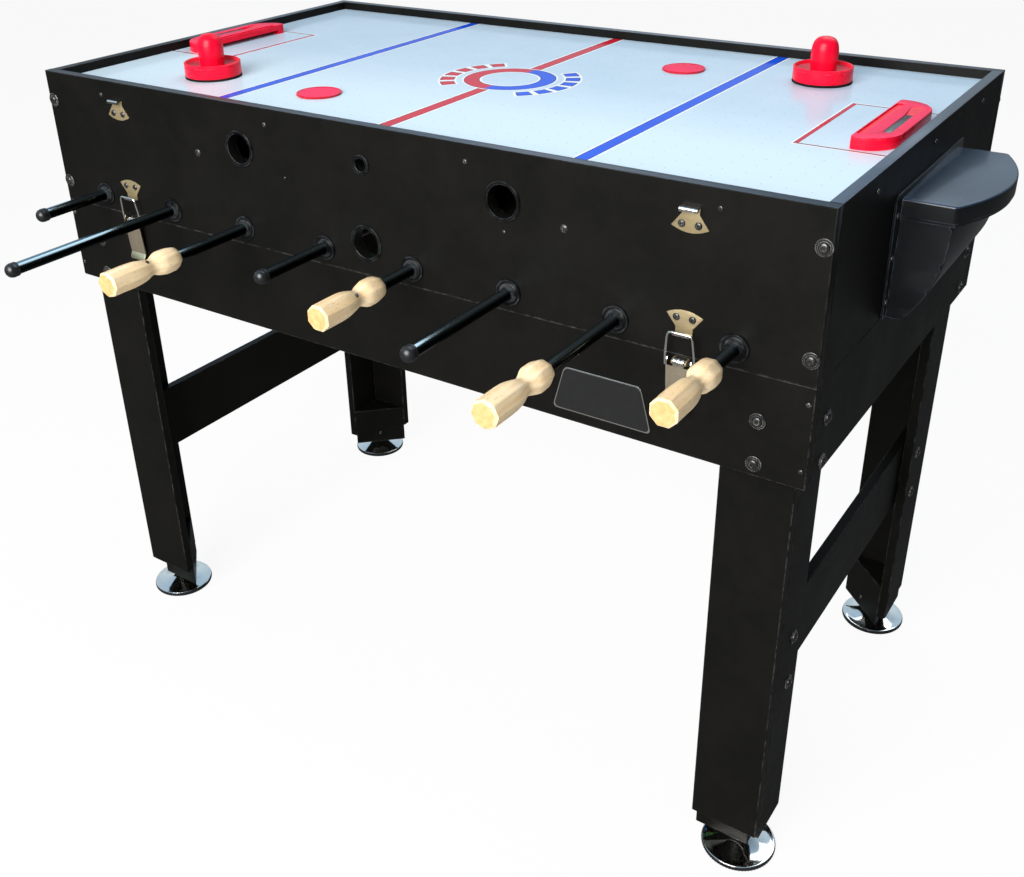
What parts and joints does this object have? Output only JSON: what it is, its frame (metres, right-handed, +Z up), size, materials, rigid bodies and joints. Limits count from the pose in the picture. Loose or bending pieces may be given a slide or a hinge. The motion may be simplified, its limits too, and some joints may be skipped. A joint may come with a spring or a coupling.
{
  "type": "multi game table",
  "caption": "Games table: an air hockey top over an upturned table football box with rods, latched onto a base with four stretchered legs on levelling feet.",
  "frame": {"origin": "on the floor, in the middle of the table", "axes": "+X along the length to the right, -Y towards the front, +Z up"},
  "size_m": [1.413, 1.2494, 1.007],
  "materials": {
    "black_laminate": "satin black laminate on fibreboard",
    "playing_white": "glossy white printed laminate",
    "pitch_green": "satin green printed laminate",
    "mirror_chrome": "polished",
    "dark_rod": "glossy black",
    "beech": "sanded and waxed",
    "black_cap": "satin",
    "return_black": "satin",
    "signal_red": "glossy",
    "nickel": "satin nickel"
  },
  "bodies": {
    "base": {"front_apron": "black_laminate", "back_apron": "black_laminate", "left_apron": "black_laminate", "right_apron": "black_laminate", "left_stretcher": "black_laminate", "right_stretcher": "black_laminate", "front_left_leg": "black_laminate", "front_right_leg": "black_laminate", "back_left_leg": "black_laminate", "back_right_leg": "black_laminate"},
    "game_box": {"front_panel": "black_laminate", "back_panel": "black_laminate", "left_panel": "black_laminate", "right_panel": "black_laminate", "hockey_surface": "playing_white", "football_field": "pitch_green", "left_ball_return": "return_black", "right_ball_return": "return_black", "left_hockey_goal": "signal_red", "right_hockey_goal": "signal_red"},
    "carriage_1": {"end_cap_1": "black_cap"},
    "spindle_1": {"rod_1": "dark_rod", "handle_1": "beech"},
    "carriage_2": {"end_cap_2": "black_cap"},
    "spindle_2": {"rod_2": "dark_rod", "handle_2": "beech"},
    "carriage_3": {"end_cap_3": "black_cap"},
    "spindle_3": {"rod_3": "dark_rod", "handle_3": "beech"},
    "carriage_4": {"end_cap_4": "black_cap"},
    "spindle_4": {"rod_4": "dark_rod", "handle_4": "beech"},
    "carriage_5": {"end_cap_5": "black_cap"},
    "spindle_5": {"rod_5": "dark_rod", "handle_5": "beech"},
    "carriage_6": {"end_cap_6": "black_cap"},
    "spindle_6": {"rod_6": "dark_rod", "handle_6": "beech"},
    "carriage_7": {"end_cap_7": "black_cap"},
    "spindle_7": {"rod_7": "dark_rod", "handle_7": "beech"},
    "carriage_8": {"end_cap_8": "black_cap"},
    "spindle_8": {"rod_8": "dark_rod", "handle_8": "beech"},
    "front_left_lever": {"front_left_latch_lever": "nickel"},
    "front_left_bail": {"front_left_latch_bail": "mirror_chrome"},
    "front_left_leveller": {"front_left_foot": "mirror_chrome"},
    "front_right_lever": {"front_right_latch_lever": "nickel"},
    "front_right_bail": {"front_right_latch_bail": "mirror_chrome"},
    "front_right_leveller": {"front_right_foot": "mirror_chrome"},
    "back_left_lever": {"back_left_latch_lever": "nickel"},
    "back_left_bail": {"back_left_latch_bail": "mirror_chrome"},
    "back_left_leveller": {"back_left_foot": "mirror_chrome"},
    "back_right_lever": {"back_right_latch_lever": "nickel"},
    "back_right_bail": {"back_right_latch_bail": "mirror_chrome"},
    "back_right_leveller": {"back_right_foot": "mirror_chrome"},
    "left_striker": {"left_pusher": "signal_red"},
    "left_disc": {"left_puck": "signal_red"},
    "right_striker": {"right_pusher": "signal_red"},
    "right_disc": {"right_puck": "signal_red"}
  },
  "joints": [
    {"name": "box_lift", "type": "slide", "parent": "base", "child": "game_box", "axis": [0, 0, 1], "range_m": [0, 0.15]},
    {"name": "rod_1_slide", "type": "slide", "parent": "game_box", "child": "carriage_1", "axis": [0, 1, 0], "range_m": [-0.1603, 0.1025]},
    {"name": "rod_1_spin", "type": "hinge", "parent": "carriage_1", "child": "spindle_1", "pos_m": [-0.5145, 0, 0.781], "axis": [0, 1, 0], "continuous": true},
    {"name": "rod_2_slide", "type": "slide", "parent": "game_box", "child": "carriage_2", "axis": [0, 1, 0], "range_m": [-0.0034, 0.2594]},
    {"name": "rod_2_spin", "type": "hinge", "parent": "carriage_2", "child": "spindle_2", "pos_m": [-0.3675, 0, 0.781], "axis": [0, 1, 0], "continuous": true},
    {"name": "rod_3_slide", "type": "slide", "parent": "game_box", "child": "carriage_3", "axis": [0, 1, 0], "range_m": [-0.1276, 0.1067]},
    {"name": "rod_3_spin", "type": "hinge", "parent": "carriage_3", "child": "spindle_3", "pos_m": [-0.2205, 0, 0.781], "axis": [0, 1, 0], "continuous": true},
    {"name": "rod_4_slide", "type": "slide", "parent": "game_box", "child": "carriage_4", "axis": [0, 1, 0], "range_m": [-0.0974, 0.0489]},
    {"name": "rod_4_spin", "type": "hinge", "parent": "carriage_4", "child": "spindle_4", "pos_m": [-0.0735, 0, 0.781], "axis": [0, 1, 0], "continuous": true},
    {"name": "rod_5_slide", "type": "slide", "parent": "game_box", "child": "carriage_5", "axis": [0, 1, 0], "range_m": [-0.1449, 0.0014]},
    {"name": "rod_5_spin", "type": "hinge", "parent": "carriage_5", "child": "spindle_5", "pos_m": [0.0735, 0, 0.781], "axis": [0, 1, 0], "continuous": true},
    {"name": "rod_6_slide", "type": "slide", "parent": "game_box", "child": "carriage_6", "axis": [0, 1, 0], "range_m": [-0.065, 0.1693]},
    {"name": "rod_6_spin", "type": "hinge", "parent": "carriage_6", "child": "spindle_6", "pos_m": [0.2205, 0, 0.781], "axis": [0, 1, 0], "continuous": true},
    {"name": "rod_7_slide", "type": "slide", "parent": "game_box", "child": "carriage_7", "axis": [0, 1, 0], "range_m": [-0.117, 0.1458]},
    {"name": "rod_7_spin", "type": "hinge", "parent": "carriage_7", "child": "spindle_7", "pos_m": [0.3675, 0, 0.781], "axis": [0, 1, 0], "continuous": true},
    {"name": "rod_8_slide", "type": "slide", "parent": "game_box", "child": "carriage_8", "axis": [0, 1, 0], "range_m": [-0.2128, 0.05]},
    {"name": "rod_8_spin", "type": "hinge", "parent": "carriage_8", "child": "spindle_8", "pos_m": [0.5145, 0, 0.781], "axis": [0, 1, 0], "continuous": true},
    {"name": "front_left_lever_swing", "type": "hinge", "parent": "base", "child": "front_left_lever", "pos_m": [-0.454, -0.3495, 0.751], "axis": [-1, 0, 0], "range_deg": [0, 120]},
    {"name": "front_left_bail_swing", "type": "hinge", "parent": "front_left_lever", "child": "front_left_bail", "pos_m": [-0.454, -0.3495, 0.745], "axis": [-1, 0, 0], "range_deg": [-150, 0]},
    {"name": "front_left_foot_screw", "type": "slide", "parent": "base", "child": "front_left_leveller", "axis": [0, 0, -1], "range_m": [0, 0.015]},
    {"name": "front_right_lever_swing", "type": "hinge", "parent": "base", "child": "front_right_lever", "pos_m": [0.454, -0.3495, 0.751], "axis": [-1, 0, 0], "range_deg": [0, 120]},
    {"name": "front_right_bail_swing", "type": "hinge", "parent": "front_right_lever", "child": "front_right_bail", "pos_m": [0.454, -0.3495, 0.745], "axis": [-1, 0, 0], "range_deg": [-150, 0]},
    {"name": "front_right_foot_screw", "type": "slide", "parent": "base", "child": "front_right_leveller", "axis": [0, 0, -1], "range_m": [0, 0.015]},
    {"name": "back_left_lever_swing", "type": "hinge", "parent": "base", "child": "back_left_lever", "pos_m": [-0.454, 0.3495, 0.751], "axis": [1, 0, 0], "range_deg": [0, 120]},
    {"name": "back_left_bail_swing", "type": "hinge", "parent": "back_left_lever", "child": "back_left_bail", "pos_m": [-0.454, 0.3495, 0.745], "axis": [1, 0, 0], "range_deg": [-150, 0]},
    {"name": "back_left_foot_screw", "type": "slide", "parent": "base", "child": "back_left_leveller", "axis": [0, 0, -1], "range_m": [0, 0.015]},
    {"name": "back_right_lever_swing", "type": "hinge", "parent": "base", "child": "back_right_lever", "pos_m": [0.454, 0.3495, 0.751], "axis": [1, 0, 0], "range_deg": [0, 120]},
    {"name": "back_right_bail_swing", "type": "hinge", "parent": "back_right_lever", "child": "back_right_bail", "pos_m": [0.454, 0.3495, 0.745], "axis": [1, 0, 0], "range_deg": [-150, 0]},
    {"name": "back_right_foot_screw", "type": "slide", "parent": "base", "child": "back_right_leveller", "axis": [0, 0, -1], "range_m": [0, 0.015]},
    {"name": "left_pusher_slide", "type": "slide", "parent": "game_box", "child": "left_striker", "axis": [0, 1, 0], "range_m": [-0.081, 0.48]},
    {"name": "left_puck_slide", "type": "slide", "parent": "game_box", "child": "left_disc", "axis": [1, 0, 0], "range_m": [-0.13, 0.5]},
    {"name": "right_pusher_slide", "type": "slide", "parent": "game_box", "child": "right_striker", "axis": [0, 1, 0], "range_m": [-0.48, 0.075]},
    {"name": "right_puck_slide", "type": "slide", "parent": "game_box", "child": "right_disc", "axis": [1, 0, 0], "range_m": [-0.5, 0.123]}
  ],
  "couplings": [
    {"joint": "front_left_bail_swing", "follows": "front_left_lever_swing", "ratio": -1.25},
    {"joint": "front_right_bail_swing", "follows": "front_right_lever_swing", "ratio": -1.25},
    {"joint": "back_left_bail_swing", "follows": "back_left_lever_swing", "ratio": -1.25},
    {"joint": "back_right_bail_swing", "follows": "back_right_lever_swing", "ratio": -1.25}
  ]
}
